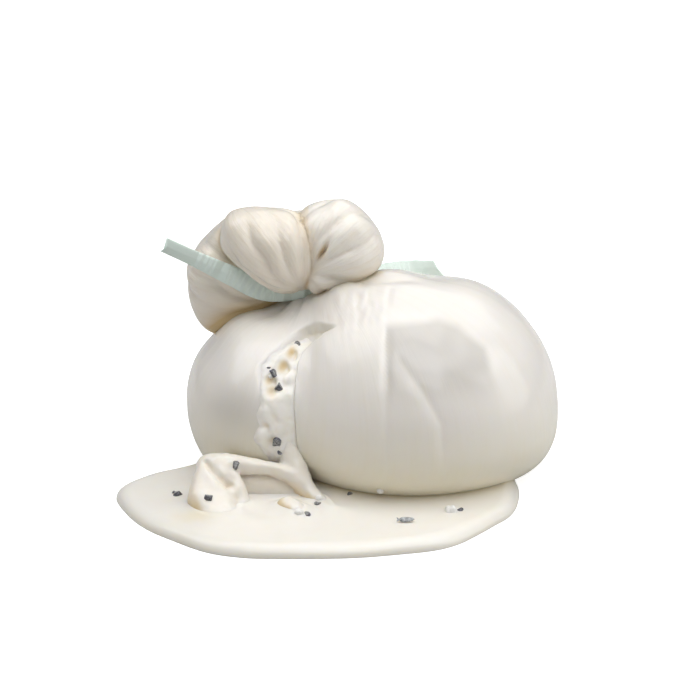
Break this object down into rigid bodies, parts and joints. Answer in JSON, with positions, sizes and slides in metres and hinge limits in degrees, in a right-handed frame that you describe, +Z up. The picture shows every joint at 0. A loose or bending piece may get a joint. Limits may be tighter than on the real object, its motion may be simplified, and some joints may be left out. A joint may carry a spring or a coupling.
{
  "type": "burrata",
  "caption": "Soft fresh-cheese pouch, torn open in front, with curd and cream spilling into a pool and a topknot tied by a flat strip.",
  "frame": {"origin": "middle of the flat patch that the pouch rests on", "axes": "+Z up, -Y towards the torn front, +X to the right as seen from the front"},
  "size_m": [0.1082, 0.1059, 0.0672],
  "materials": {
    "skin": "moist, smooth white curd skin with faint stretched fibres",
    "filling": "wet, lumpy curd shreds in cream, slightly yellow in the hollows",
    "cream": "smooth, glossy thick cream",
    "strip": "pale green, satin, folded lengthwise"
  },
  "bodies": {
    "root": {"pouch": "skin", "filling": "filling", "cream_pool": "cream", "tie": "strip"}
  },
  "joints": []
}
